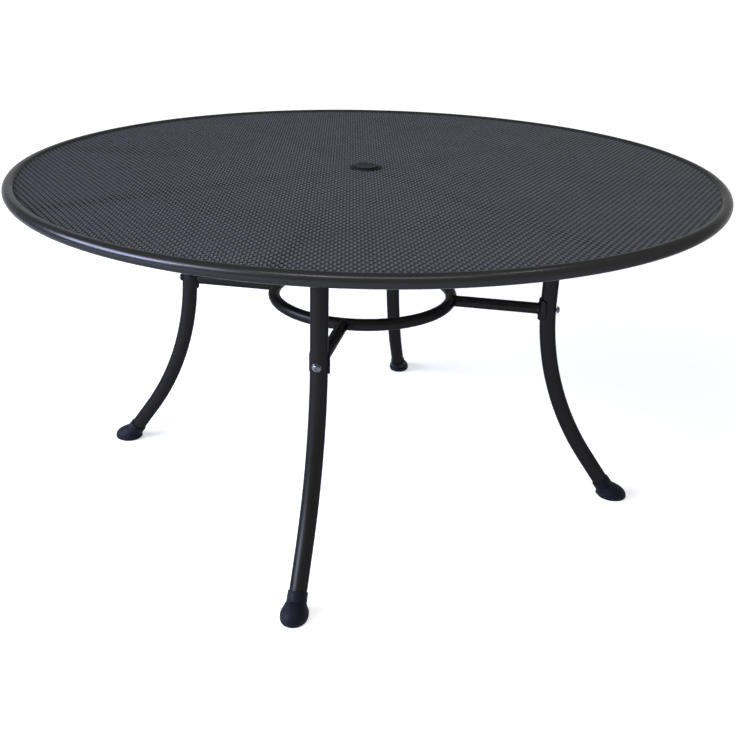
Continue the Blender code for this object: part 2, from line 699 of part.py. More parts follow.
def loft(name, sections):
    """A closed solid through sections with the same number of corners."""
    mesh = bpy.data.meshes.new(name)
    bm = bmesh.new()
    rings = [[bm.verts.new(corner) for corner in section] for section in sections]
    for lower, upper in zip(rings, rings[1:]):
        for i in range(FOOT_SIDES):
            bm.faces.new((lower[i - 1], lower[i], upper[i], upper[i - 1]))
    bm.faces.new(reversed(rings[0]))
    bm.faces.new(rings[-1])
    bm.to_mesh(mesh)
    bm.free()
    return link(name, mesh)


foot = loft("foot", foot_sections())
leg_end_low = foot_axis(LEG_END_HEIGHT / math.cos(LEG_SWEEP_ANGLE) - CLEARANCE)
leg_end_seat = hole_rod("leg_end_seat", leg_end_low, foot_axis(FOOT_SLEEVE_TOP + OVERRUN),
                        LEG_TUBE + 2 * CLEARANCE, FOOT_SIDES)
foot = cut(foot, leg_end_seat)
repeat(foot, "foot", SIDE_STATIONS, BLACK_RUBBER)


# Smooth shading with sharp creases on every piece
for part in PARTS.objects:
    if part.type == "MESH":
        part.data.shade_smooth()
        part.data.set_sharp_from_angle(angle=SHARP_ANGLE)
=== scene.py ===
"""The round garden table as it looks: powder-coated steel, an expanded-metal top and rubber boots.

Metres, +Z up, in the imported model's frame. The sections follow the table as it is put together.
"""
import json
import math

import bmesh
import bpy
from mathutils import Matrix, Vector

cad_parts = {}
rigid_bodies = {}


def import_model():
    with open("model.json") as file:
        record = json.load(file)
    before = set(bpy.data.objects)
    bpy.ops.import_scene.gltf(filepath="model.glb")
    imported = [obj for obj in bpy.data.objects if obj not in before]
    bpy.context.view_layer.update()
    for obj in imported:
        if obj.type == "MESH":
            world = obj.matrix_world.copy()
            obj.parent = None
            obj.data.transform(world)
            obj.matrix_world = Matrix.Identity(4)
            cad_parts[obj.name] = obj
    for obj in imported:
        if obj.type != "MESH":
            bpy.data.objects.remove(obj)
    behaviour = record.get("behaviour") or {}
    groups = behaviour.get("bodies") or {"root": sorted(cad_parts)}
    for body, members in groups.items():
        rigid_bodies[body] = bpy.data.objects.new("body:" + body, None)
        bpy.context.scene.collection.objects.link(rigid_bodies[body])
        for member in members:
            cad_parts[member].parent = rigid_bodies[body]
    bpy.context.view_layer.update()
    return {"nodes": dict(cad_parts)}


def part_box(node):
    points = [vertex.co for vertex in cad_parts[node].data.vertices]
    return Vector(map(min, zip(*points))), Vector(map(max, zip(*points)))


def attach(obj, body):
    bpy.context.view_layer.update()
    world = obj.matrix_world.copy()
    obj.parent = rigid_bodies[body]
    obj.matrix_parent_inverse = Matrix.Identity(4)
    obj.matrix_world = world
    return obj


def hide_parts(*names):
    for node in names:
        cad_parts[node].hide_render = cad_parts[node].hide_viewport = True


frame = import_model()


# Camera: a standing person's view from the front, a good step away from the table. The heading,
# tilt and roll were fitted to the rim's ellipse, the legs, the brace ring and the boots.
eye = Vector((0.3971, -2.0497, 1.1889))
heading = math.radians(12.13)
tilt = math.radians(24.05)
roll = math.radians(0.931)
camera_data = bpy.data.cameras.new("camera")
camera_data.lens = 47.24
camera_data.sensor_width = 36
camera_data.shift_x = 0.0344
camera_data.shift_y = 0.0019
camera = bpy.data.objects.new("camera", camera_data)
camera.matrix_world = (Matrix.Translation(eye) @ Matrix.Rotation(heading, 4, "Z")
                       @ Matrix.Rotation(math.pi / 2 - tilt, 4, "X") @ Matrix.Rotation(roll, 4, "Z"))
bpy.context.scene.collection.objects.link(camera)
bpy.context.scene.camera = camera


# Studio: a pale floor under a white surround. A wide lamp like a window stands low at the left and
# draws the bluish light on the rim. Others hang over the front, and weak ones fill in behind and at
# the right.
def linear(hex_colour):
    """An sRGB hex colour as the linear colour that the shader takes."""
    shares = [int(hex_colour[i:i + 2], 16) / 255 for i in (1, 3, 5)]
    return (*(share / 12.92 if share <= 0.04045 else ((share + 0.055) / 1.055) ** 2.4
              for share in shares), 1)


def new_material(name):
    """A new material and its shader."""
    material = bpy.data.materials.new(name)
    material.use_nodes = True
    return material, material.node_tree.nodes["Principled BSDF"]


def add_node(material, kind, settings=None, links=None):
    """Add a node, set its inputs or properties, and link outputs of other nodes into it."""
    node = material.node_tree.nodes.new(kind)
    for name, value in (settings or {}).items():
        if isinstance(name, int) or name in node.inputs:
            node.inputs[name].default_value = value
        else:
            setattr(node, name, value)
    for name, output in (links or {}).items():
        material.node_tree.links.new(output, node.inputs[name])
    return node


def wire(material, shader, colour, gloss, bump=None):
    """Link a colour, a roughness and perhaps a bump into a material's shader."""
    links = material.node_tree.links
    links.new(colour.outputs["Color"], shader.inputs["Base Color"])
    links.new(gloss.outputs[0], shader.inputs["Roughness"])
    if bump:
        links.new(bump.outputs["Normal"], shader.inputs["Normal"])


def shown_to_eye(material):
    """1 for rays that end in the eye: straight ones, mirrored ones and those through clear parts."""
    rays = add_node(material, "ShaderNodeLightPath")
    straight = add_node(material, "ShaderNodeMath", {"operation": "MAXIMUM"},
                        {0: rays.outputs["Is Camera Ray"], 1: rays.outputs["Is Glossy Ray"]})
    return add_node(material, "ShaderNodeMath", {"operation": "MAXIMUM"},
                    {0: straight.outputs[0], 1: rays.outputs["Is Transmission Ray"]}).outputs[0]


def deselect():
    """Leave edit mode and let go of everything, so that the next piece starts alone."""
    if bpy.context.object and bpy.context.object.mode != "OBJECT":
        bpy.ops.object.mode_set(mode="OBJECT")
    bpy.ops.object.select_all(action="DESELECT")


def take(obj):
    """Let go of everything else and make this piece the active one."""
    deselect()
    bpy.context.view_layer.objects.active = obj
    obj.select_set(True)


def lamp(name, place, target, width, height, watts, colour):
    """A rectangular area lamp at a place, turned to its target."""
    data = bpy.data.lights.new(name, "AREA")
    data.shape = "RECTANGLE"
    data.size = width
    data.size_y = height
    data.energy = watts
    data.color = linear(colour)[:3]
    obj = bpy.data.objects.new(name, data)
    obj.location = place
    obj.rotation_euler = (Vector(target) - Vector(place)).to_track_quat("-Z", "Y").to_euler()
    bpy.context.scene.collection.objects.link(obj)


deselect()
floor_size = 60
floor_clearance = 0.0003
bpy.ops.mesh.primitive_plane_add(size=floor_size, location=(0, 0, -floor_clearance))
floor = bpy.context.object
floor.name = "studio_floor"
# Matt floor paint: a pale white that the lamps light near the table, where it takes the shadow, and
# that shows as white as the surround further off
floor_paint, floor_shader = new_material("matt_floor_paint")
floor_shader.inputs["Base Color"].default_value = linear("#e4e4e4")
floor_shader.inputs["Roughness"].default_value = 0.9
floor_shader.inputs["Specular IOR Level"].default_value = 0.1
floor_place = add_node(floor_paint, "ShaderNodeTexCoord").outputs["Object"]
floor_away = add_node(floor_paint, "ShaderNodeVectorMath", {"operation": "LENGTH"}, {0: floor_place})
floor_white = add_node(floor_paint, "ShaderNodeMapRange",
                       {"From Min": 1.0, "From Max": 6.0, "To Min": 0.56, "To Max": 0.85},
                       {"Value": floor_away.outputs["Value"]})
floor_lift = add_node(floor_paint, "ShaderNodeMath", {"operation": "MULTIPLY"},
                      {0: shown_to_eye(floor_paint), 1: floor_white.outputs[0]})
floor_shader.inputs["Emission Color"].default_value = (1, 1, 1, 1)
floor_paint.node_tree.links.new(floor_lift.outputs[0], floor_shader.inputs["Emission Strength"])
floor.data.materials.append(floor_paint)

lamp("window_left", (-3.25, -1.9, 1.78), (-0.2, -0.5, 0.74), 2.8, 1.1, 350, "#cedaff")
lamp("softbox_over_front", (0.4, -2.3, 3.75), (0, -0.5, 0.74), 3.4, 0.8, 46, "#ffffff")
lamp("small_lamp_front", (-0.2, -2.45, 3.7), (0, -0.7, 0.74), 0.5, 0.5, 12, "#ffffff")
lamp("small_lamp_right", (2.15, -0.5, 3.75), (0.2, -0.7, 0.74), 0.5, 0.5, 12, "#ffffff")
lamp("softbox_behind", (-2.5, 2.9, 2.3), (-0.3, 0, 0.74), 2.2, 0.9, 11, "#d6e0ff")
lamp("soft_lamp_front", (-2.2, -3.0, 2.4), (0, -0.3, 0.4), 1.5, 1.2, 60, "#e8edff")

surround = bpy.data.worlds.new("white_surround")
surround.use_nodes = True
bpy.context.scene.world = surround
glow = add_node(surround, "ShaderNodeMapRange", {"To Min": 0.22, "To Max": 1.0},
                {"Value": shown_to_eye(surround)})
backdrop = surround.node_tree.nodes["Background"]
backdrop.inputs["Color"].default_value = (1, 1, 1, 1)
surround.node_tree.links.new(glow.outputs[0], backdrop.inputs["Strength"])
bpy.context.scene.view_settings.view_transform = "Standard"


# Rim: a round steel tube of 25 mm, rolled to a ring of 1.5 m and butt welded. It carries the
# whole top, and one small hole on its underside lets water out.
def settle(name):
    """Name the new primitive and put its place into its mesh."""
    obj = bpy.context.object
    obj.name = name
    obj.data.name = name
    bpy.ops.object.transform_apply(location=True, rotation=True, scale=True)
    return obj


def edit(obj):
    """Take a piece into edit mode with every point selected."""
    take(obj)
    bpy.ops.object.mode_set(mode="EDIT")
    bpy.ops.mesh.select_mode(type="VERT")
    bpy.ops.mesh.select_all(action="SELECT")


def pick(kind, test):
    """In edit mode, select only the vertices, edges or faces whose middle passes the test."""
    bpy.ops.mesh.select_mode(type=kind)
    bpy.ops.mesh.select_all(action="DESELECT")
    data = bpy.context.object.data
    bm = bmesh.from_edit_mesh(data)
    if kind == "VERT":
        chosen = [vert for vert in bm.verts if test(vert.co)]
    elif kind == "EDGE":
        chosen = [edge for edge in bm.edges if test((edge.verts[0].co + edge.verts[1].co) / 2)]
    else:
        chosen = [face for face in bm.faces if test(face.calc_center_median())]
    for element in chosen:
        element.select_set(True)
    bmesh.update_edit_mesh(data)


def move(x=0.0, y=0.0, z=0.0):
    """In edit mode, move what is selected."""
    bpy.ops.transform.translate(value=(x, y, z))


def outside_out():
    """In edit mode, turn every face of the piece outwards."""
    bpy.ops.mesh.select_all(action="SELECT")
    bpy.ops.mesh.normals_make_consistent(inside=False)


def modify(obj, kind, **settings):
    """Add a modifier and apply it at once."""
    take(obj)
    modifier = obj.modifiers.new(kind.lower(), kind)
    for name, value in settings.items():
        setattr(modifier, name, value)
    bpy.ops.object.modifier_apply(modifier=modifier.name)


def clean(obj):
    """Join doubled points and drop faces without an area, which a bevel or a cut can leave."""
    edit(obj)
    bpy.ops.mesh.remove_doubles(threshold=near)
    bpy.ops.mesh.select_all(action="SELECT")
    bpy.ops.mesh.dissolve_degenerate(threshold=near)
    deselect()


def break_edges(obj, width, sharp=40):
    """Round every edge that is sharper than an angle a little, as deburring does."""
    modify(obj, "BEVEL", width=width, segments=2, limit_method="ANGLE",
           angle_limit=math.radians(sharp))


def drill_drain(ring, place, radius, depth):
    """Let water out of a ring through a small hole pressed up into its underside."""
    edit(ring)
    pick("VERT", lambda p: (p - place).length < radius / 2)
    bpy.ops.mesh.bevel(offset=radius, segments=4, affect="VERTICES")
    pick("FACE", lambda p: (p - place).length < radius / 2)
    bpy.ops.mesh.extrude_region_move(TRANSFORM_OT_translate={"value": (0, 0, depth)})


def dress(obj, material, body="table", slot="coated_steel", nodes=(), smooth=35):
    """Finish a piece: shade it, coat it, say what it rides on and which solids it stands for."""
    take(obj)
    bpy.ops.object.shade_smooth_by_angle(angle=math.radians(smooth))
    obj.data.materials.clear()
    obj.data.materials.append(material)
    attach(obj, body)
    if nodes:
        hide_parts(*nodes)


# Powder-coated steel: baked polyester powder, nearly black, satin, with the faint orange-peel
# ripple of a sprayed coat and a trace of outdoor dust on what faces up. On the tubes the powder
# holds fine dark metal flakes, which keep what it mirrors at a grazing angle dim.
def powder_coated(name, coat, dust, gloss_low, gloss_high, dust_share, shine, flakes=0.0,
                  edge="#ffffff"):
    material, shader = new_material(name)
    peel_mm = 1.8
    cloud_mm = 70
    place = add_node(material, "ShaderNodeTexCoord").outputs["Object"]
    peel = add_node(material, "ShaderNodeTexNoise", {"Scale": 1000 / peel_mm, "Detail": 2.0},
                    {"Vector": place})
    cloud = add_node(material, "ShaderNodeTexNoise", {"Scale": 1000 / cloud_mm, "Detail": 5.0,
                                                      "Roughness": 0.6}, {"Vector": place})
    facing = add_node(material, "ShaderNodeNewGeometry").outputs["Normal"]
    upward = add_node(material, "ShaderNodeSeparateXYZ", {}, {"Vector": facing}).outputs["Z"]
    settled = add_node(material, "ShaderNodeMapRange",
                       {"From Min": 0.2, "From Max": 1.0, "To Max": dust_share}, {"Value": upward})
    patchy = add_node(material, "ShaderNodeMapRange",
                      {"From Min": 0.35, "From Max": 0.65, "To Min": 0.3}, {"Value": cloud.outputs["Fac"]})
    dusty = add_node(material, "ShaderNodeMath", {"operation": "MULTIPLY"},
                     {0: settled.outputs[0], 1: patchy.outputs[0]})
    colour = add_node(material, "ShaderNodeMixRGB", {"Color1": linear(coat), "Color2": linear(dust)},
                      {"Fac": dusty.outputs[0]})
    gloss = add_node(material, "ShaderNodeMapRange",
                     {"From Min": 0.3, "From Max": 0.7, "To Min": gloss_low, "To Max": gloss_high},
                     {"Value": cloud.outputs["Fac"]})
    ripple = add_node(material, "ShaderNodeBump", {"Strength": 0.25, "Distance": 0.0001},
                      {"Height": peel.outputs["Fac"]})
    wire(material, shader, colour, gloss, ripple)
    shader.inputs["IOR"].default_value = 1.5
    shader.inputs["Specular IOR Level"].default_value = shine
    shader.inputs["Metallic"].default_value = flakes
    shader.inputs["Specular Tint"].default_value = linear(edge)
    return material


coated_tube = powder_coated("powder_coated_steel_tube", "#1f1e1e", "#4a4845", 0.32, 0.40, 0.04, 0.14,
                            flakes=0.9, edge="#b4b4b4")

rim_low, rim_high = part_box("rim")
rim_tube = rim_high.z - rim_low.z
rim_radius = rim_high.x - rim_tube / 2
rim_height = (rim_low.z + rim_high.z) / 2
rim_drain_radius = 0.003
deselect()
bpy.ops.mesh.primitive_torus_add(major_segments=288, minor_segments=24, major_radius=rim_radius,
                                 minor_radius=rim_tube / 2, location=(0, 0, rim_height))
rim = settle("rim_tube")
drill_drain(rim, Vector((rim_radius, 0, rim_low.z)), rim_drain_radius, rim_tube / 2)
# The rim's coat is a copy of the same powder, made lighter and shinier than on the legs: a lit copy that
# paints a brighter highlight and tone onto the rim
brightened_rim_coat = powder_coated("powder_coated_steel_rim", "#2b2b2c", "#4a4845", 0.22, 0.30, 0.04, 0.20,
                           flakes=0.9, edge="#bababa")
dress(rim, brightened_rim_coat, nodes=["rim"])


# Expanded-metal sheet: a steel sheet slit in rows and pulled apart into diamonds of 12.4 by
# 21 mm. Its strands stand aslant and overlap at flat bonds, and its edge is welded in the rim.
sheet_low, sheet_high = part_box("mesh_top")
sheet_middle = (sheet_low.z + sheet_high.z) / 2
sheet_turn = math.radians(12)
diamond_short = 0.0124
diamond_long = 0.0210
bond_half_width = 0.0026
bond_half_length = 0.0028
bond_tip = 0.0069
strand_lift = 0.0012
strand_gauge = 0.0022
# The sheet's edge dips just into the rim's tube, this far inside the tube's centre line
edge_inset = 0.0103
sheet_radius = rim_radius - edge_inset
hub_opening = 0.0325
# Places nearer to each other than this count as the same
near = 0.00001

# One bond, a flat hexagon that stands aslant, with two strands from its upper end
deselect()
bpy.ops.mesh.primitive_plane_add(size=1)
bpy.context.object.scale = (2 * bond_half_width, 2 * bond_half_length, 1)
sheet = settle("expanded_sheet")
edit(sheet)
pick("EDGE", lambda p: abs(p.x) < near)
bpy.ops.mesh.subdivide(number_cuts=1)
for end in (1, -1):
    pick("VERT", lambda p: abs(p.x) < near and end * p.y > near)
    move(y=end * (bond_tip - bond_half_length))
for side in (1, -1):
    pick("VERT", lambda p: side * p.x > near)
    move(z=side * strand_lift)
strand_x = diamond_short / 2 - bond_half_width
strand_y = diamond_long / 2 - bond_tip - bond_half_length
for side in (1, -1):
    pick("EDGE", lambda p: near < side * p.x < bond_half_width - near and p.y > bond_half_length)
    bpy.ops.mesh.extrude_edges_move(
        TRANSFORM_OT_translate={"value": (side * strand_x, strand_y, -side * strand_lift)})
# A second bond, half a diamond on, completes the cell that is laid out over the whole top
bpy.ops.mesh.select_all(action="SELECT")
bpy.ops.mesh.duplicate_move(
    TRANSFORM_OT_translate={"value": (diamond_short / 2, diamond_long / 2, 0)})
bpy.ops.mesh.select_all(action="SELECT")
bpy.ops.mesh.remove_doubles(threshold=near)

columns = 2 * math.ceil(sheet_radius / diamond_short) + 2
rows = 2 * math.ceil(sheet_radius / diamond_long) + 2
for step, count in (((diamond_short, 0, 0), columns), ((0, diamond_long, 0), rows)):
    modify(sheet, "ARRAY", count=count, use_relative_offset=False, use_constant_offset=True,
           constant_offset_displace=step, use_merge_vertices=True, merge_threshold=near)
sheet.location = (-diamond_short * columns / 2, -diamond_long * rows / 2, sheet_middle)
bpy.ops.object.transform_apply()
sheet.rotation_euler.z = sheet_turn
bpy.ops.object.transform_apply()


def all_round(count):
    """Directions in the sheet's plane, spread evenly round the table."""
    return [Vector((math.cos(math.tau * i / count), math.sin(math.tau * i / count), 0))
            for i in range(count)]


# The net is cut round at its edge, and its middle is cut out for the hub
edit(sheet)
pick("FACE", lambda p: p.to_2d().length > sheet_radius + diamond_long)
bpy.ops.mesh.delete(type="FACE")
edge_cuts = 48
for outward in all_round(edge_cuts):
    pick("FACE", lambda p: p.dot(outward) > sheet_radius - diamond_long)
    bpy.ops.mesh.bisect(plane_co=outward * sheet_radius, plane_no=outward, clear_outer=True)
hub_cuts = all_round(12)
for outward in hub_cuts:
    pick("FACE", lambda p: p.to_2d().length < hub_opening + diamond_long and p.dot(outward) > 0)
    bpy.ops.mesh.bisect(plane_co=outward * hub_opening, plane_no=outward)
pick("FACE", lambda p: max(p.dot(outward) for outward in hub_cuts) < hub_opening)
bpy.ops.mesh.delete(type="FACE")
# The sheet is kept as four quarters, because it has some 12,700 openings
quarters = [sheet]
for across, along in ((1, 1), (1, -1), (-1, 1)):
    edit(sheet)
    pick("FACE", lambda p: across * p.x >= 0 and along * p.y >= 0)
    bpy.ops.mesh.separate(type="SELECTED")
    deselect()
    quarters.append(next(obj for obj in bpy.data.objects
                         if obj.name.startswith("expanded_sheet") and obj not in quarters))

# The sheet's coat is a plain powder without flakes, greyer and duller than that of the tubes
coated_sheet = powder_coated("powder_coated_expanded_steel", "#323335", "#4a4845", 0.56, 0.66, 0.06,
                             0.13)
for name, quarter in zip(("front_left", "back_right", "front_right", "back_left"), quarters):
    modify(quarter, "SOLIDIFY", thickness=strand_gauge, offset=0)
    quarter.name = f"expanded_sheet_{name}"
    quarter.data.name = quarter.name
    dress(quarter, coated_sheet, slot="coated_sheet", nodes=["mesh_top"], smooth=20)


# Bars and arms: flat box tube of 30 by 12 mm with rounded corners, under the sheet. Four bars run
# from the collar to the rim between the legs, and four arms run from over each leg to the rim.
def box_tube(name, inner, outer, width, low, high, wall, corner):
    """A rectangular tube along X, open at both ends."""
    deselect()
    bpy.ops.mesh.primitive_cube_add(size=1, location=((inner + outer) / 2, 0, (low + high) / 2),
                                    scale=(outer - inner, width, high - low))
    tube = settle(name)
    edit(tube)
    middle = (inner + outer) / 2
    pick("EDGE", lambda p: abs(p.x - middle) < near)
    bpy.ops.mesh.bevel(offset=corner, segments=4)
    # The ends are hollow as deep as anyone sees into them
    hollow = wall * 12
    for end, depth in ((inner, hollow), (outer, -hollow)):
        pick("FACE", lambda p: abs(p.x - end) < near)
        bpy.ops.mesh.inset(thickness=wall)
        bpy.ops.mesh.extrude_region_move(TRANSFORM_OT_translate={"value": (depth, 0, 0)})
    return tube


def set_round(first, base, names, start=0.0):
    """Copy a piece to each side or corner of the table, a quarter turn apart."""
    deselect()
    copies = []
    for i, name in enumerate(names):
        copy = first.copy()
        copy.data = first.data.copy()
        bpy.context.scene.collection.objects.link(copy)
        copy.name = f"{base}_{name}"
        copy.data.name = copy.name
        take(copy)
        copy.rotation_euler.z = start + i * math.pi / 2
        bpy.ops.object.transform_apply()
        copies.append(copy)
    bpy.data.objects.remove(first, do_unlink=True)
    return copies


def dress_round(first, base, cad_base, names, material, start=0.0, **how):
    """Copy a piece round the table and dress each copy for the solid that it stands for."""
    for piece, name in zip(set_round(first, base, names, start), names):
        dress(piece, material, nodes=[f"{cad_base}_{name}"], **how)


# Weld: a bead of steel run round a joint by hand, with a ripple for each drop, under the coat.
# Its middle line stands just proud of the joint, and it is a little narrower between two drops.
weld_width = 0.0034
weld_waist = 0.0009
weld_proud = 0.0004
weld_smooth = 60


def weld(name, route):
    """A bead along a route, waisted between the drops."""
    curve = bpy.data.curves.new(name, "CURVE")
    curve.dimensions = "3D"
    curve.bevel_depth = weld_width / 2
    curve.bevel_resolution = 1
    curve.use_fill_caps = True
    spline = curve.splines.new("POLY")
    spline.points.add(len(route) - 1)
    for i, (point, place) in enumerate(zip(spline.points, route)):
        point.co = (*place, 1)
        point.radius = 1 if i % 2 else 1 - weld_waist / weld_width
    bead = bpy.data.objects.new(name, curve)
    bpy.context.scene.collection.objects.link(bead)
    take(bead)
    bpy.ops.object.convert(target="MESH")
    return bead


def weld_round(bead, base, names, start=0.0):
    """Copy a bead round the table and coat it."""
    for piece in set_round(bead, base, names, start):
        dress(piece, coated_tube, smooth=weld_smooth)


def spread(start, end, pitch=0.0011):
    """Evenly spaced shares from start to end, a drop of weld apart."""
    count = max(2, round(abs(end - start) / pitch))
    return [start + (end - start) * i / count for i in range(count + 1)]


sides = ("right", "back", "left", "front")
corners = ("back_right", "back_left", "front_left", "front_right")
quarter_turn = math.pi / 2
arm_low, arm_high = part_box("arm_right")
member_width = arm_high.y - arm_low.y
member_wall = 0.0015
member_corner = 0.0025
collar_low, collar_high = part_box("hub_collar")
collar_radius = 0.031
collar_bore = 0.027
# The ends run into the collar's wall and the rim, as a notched end does under its weld
bore_clearance = 0.0005
rim_bite = 0.0035
bar_inner = collar_bore + bore_clearance
member_outer = arm_high.x + rim_bite

bar = box_tube("bar", bar_inner, member_outer, member_width, arm_low.z, arm_high.z, member_wall,
               member_corner)
dress_round(bar, "diagonal_bar", "bar", corners, coated_tube, quarter_turn / 2)
arm = box_tube("arm", arm_low.x, member_outer, member_width, arm_low.z, arm_high.z, member_wall,
               member_corner)
dress_round(arm, "leg_arm", "arm", sides, coated_tube)

half_member = member_width / 2
weld_below_sheet = 0.0018
weld_start = arm_high.z - weld_below_sheet
outline = ([(-half_member, z) for z in spread(weld_start, arm_low.z)]
           + [(y, arm_low.z) for y in spread(-half_member, half_member)]
           + [(half_member, z) for z in spread(arm_low.z, weld_start)])


def rim_face(z):
    """Distance from the table's middle to the rim's inner side, at a height."""
    return rim_radius - math.sqrt((rim_tube / 2) ** 2 - (z - rim_height) ** 2)


rim_route = [(rim_face(z) - weld_proud, y, z) for y, z in outline]
weld_round(weld("rim_weld", rim_route), "rim_weld", corners, quarter_turn / 2)
weld_round(weld("arm_weld", rim_route), "arm_weld", sides)
collar_weld = weld("collar_weld", [(math.sqrt(collar_radius ** 2 - y ** 2) + weld_proud, y, z)
                                   for y, z in outline])
weld_round(collar_weld, "collar_weld", corners, quarter_turn / 2)


# Leg sockets: channels bent from 4 mm steel strip and welded under the arms, open downwards. The
# top end of each leg lies between the cheeks.
socket_low, socket_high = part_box("leg_socket_right")
socket_wall = 0.004
socket_bend = 0.0045
cheek_corner = 0.009
cheek = socket_high.y - socket_wall
socket_middle = (socket_low.x + socket_high.x) / 2
deselect()
bpy.ops.mesh.primitive_cube_add(
    size=1, location=(socket_middle, 0, socket_high.z - socket_wall / 2),
    scale=(socket_high.x - socket_low.x, 2 * socket_high.y, socket_wall))
socket = settle("leg_socket")
edit(socket)
for side in (1, -1):
    bpy.ops.mesh.select_all(action="SELECT")
    bpy.ops.mesh.bisect(plane_co=(0, side * cheek, 0), plane_no=(0, 1, 0))
pick("FACE", lambda p: abs(p.y) > cheek and p.z < socket_high.z - socket_wall + near)
bpy.ops.mesh.extrude_region_move(
    TRANSFORM_OT_translate={"value": (0, 0, socket_low.z - socket_high.z + socket_wall)})
pick("EDGE", lambda p: p.z > socket_high.z - near and abs(p.y) > socket_high.y - near)
bpy.ops.mesh.bevel(offset=socket_bend, segments=5)
pick("EDGE", lambda p: p.z < socket_low.z + near and abs(abs(p.y) - cheek - socket_wall / 2) < near)
bpy.ops.mesh.bevel(offset=cheek_corner, segments=4)
break_edges(socket, 0.0005)
clean(socket)
dress_round(socket, "leg_channel", "leg_socket", sides, coated_tube)

# Two short welds on each side of the arm hold the socket, one near each of its ends
stitch = 0.028
stitch_margin = 0.006
stitch_lift = 0.0002
socket_welds = []
for side in (1, -1):
    for start in (socket_low.x + stitch_margin, socket_high.x - stitch_margin - stitch):
        socket_welds.append(weld("socket_weld", [
            (x, side * (half_member + weld_proud), arm_low.z + stitch_lift)
            for x in spread(start, start + stitch)]))
for number, bead in enumerate(socket_welds):
    weld_round(bead, f"socket_weld_{number + 1}", sides)


# Support ring: round tube of 20 mm, rolled and cut into four arcs. Each runs from socket to
# socket, is welded to their cheeks, and holds up the bar that it crosses.
def tube_ring(name, centre, turn, radius, sides_round):
    """The open end of a tube, as a circle facing along the turned Z axis."""
    deselect()
    bpy.ops.mesh.primitive_circle_add(vertices=sides_round, radius=radius, location=centre,
                                      rotation=turn)
    ring = settle(name)
    edit(ring)
    return ring


arc_low, arc_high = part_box("support_arc_back_right")
arc_tube = arc_high.z - arc_low.z
arc_height = (arc_low.z + arc_high.z) / 2
arc_radius = 0.505
arc_wall = 0.0015
# Each arc starts a hair inside the cheek's outer face, where its weld holds it
arc_bite = 0.0003
arc_start = math.asin((socket_high.y - arc_bite) / arc_radius)
arc = tube_ring("support_arc",
                (arc_radius * math.cos(arc_start), arc_radius * math.sin(arc_start), arc_height),
                (quarter_turn, 0, arc_start), arc_tube / 2, 24)
bpy.ops.mesh.spin(steps=40, angle=2 * arc_start - quarter_turn, center=(0, 0, arc_height),
                  axis=(0, 0, 1))
outside_out()
modify(arc, "SOLIDIFY", thickness=arc_wall, offset=-1)
dress_round(arc, "support_tube", "support_arc", corners, coated_tube)

# A weld runs round each end of an arc, and one along each side of it under the bar it holds up
arc_end = Vector((math.sqrt(arc_radius ** 2 - socket_high.y ** 2), socket_high.y, arc_height))
drops_round_arc = spread(0, math.tau, 0.1)
bar_weld_out = 0.0048
bar_weld_down = 0.0010
bar_weld_half = 0.013
for number, side in enumerate((1, -1)):
    cheek_weld = weld("cheek_weld", [
        (arc_end.x + arc_tube / 2 * math.cos(turn), side * (arc_end.y + weld_proud),
         arc_end.z + arc_tube / 2 * math.sin(turn)) for turn in drops_round_arc])
    weld_round(cheek_weld, f"cheek_weld_{number + 1}", sides)
    bar_weld = weld("bar_weld", [(arc_radius + side * bar_weld_out, y, arc_high.z - bar_weld_down)
                                 for y in spread(-bar_weld_half, bar_weld_half)])
    weld_round(bar_weld, f"bar_weld_{number + 1}", corners, quarter_turn / 2)


# Collar: a short steel tube at the middle of the top, where the bars meet. The parasol's pole
# goes down through it.
collar = tube_ring("collar", (0, 0, collar_low.z), (0, 0, 0), collar_radius, 64)
bpy.ops.mesh.extrude_edges_move(
    TRANSFORM_OT_translate={"value": (0, 0, collar_high.z - collar_low.z)})
outside_out()
modify(collar, "SOLIDIFY", thickness=collar_radius - collar_bore, offset=-1)
break_edges(collar, 0.0006)
dress(collar, coated_tube, nodes=["hub_collar"])


# Parasol hole: a black plastic ring with a flange sits in the collar and guards the pole. Both
# it and its cap are injection moulded in polypropylene.
def turned(name, profile, steps):
    """A closed turned piece, from a circle widened and raised through (radius, height) pairs."""
    deselect()
    radius, height = profile[0]
    bpy.ops.mesh.primitive_circle_add(vertices=steps, radius=radius, location=(0, 0, height))
    piece = settle(name)
    edit(piece)
    for next_radius, next_height in profile[1:]:
        bpy.ops.mesh.extrude_edges_move(
            TRANSFORM_OT_translate={"value": (0, 0, next_height - height)})
        scale = next_radius / radius
        bpy.ops.transform.resize(value=(scale, scale, 1), center_override=(0, 0, next_height))
        radius, height = next_radius, next_height
    return piece


# A profile that ends on the axis stops at this radius, and close_poles draws its end to a point
pole_radius = 0.0003


def close_poles(heights):
    """In edit mode, close the small circles on the axis at these heights."""
    for height in heights:
        pick("VERT", lambda p: p.to_2d().length < 1.5 * pole_radius and abs(p.z - height) < near)
        bpy.ops.mesh.merge(type="CENTER")


def close_up(piece):
    """Weld the start to the end of a closed profile and turn every face outwards."""
    edit(piece)
    bpy.ops.mesh.remove_doubles(threshold=near)
    outside_out()
    deselect()


def fillet(centre_radius, centre_height, size, first, last):
    """Points on a rounded edge of a turned profile, in degrees from the outward direction."""
    steps = 4
    angles = [math.radians(first + (last - first) * i / steps) for i in range(steps + 1)]
    return [(centre_radius + size * math.cos(angle), centre_height + size * math.sin(angle))
            for angle in angles]


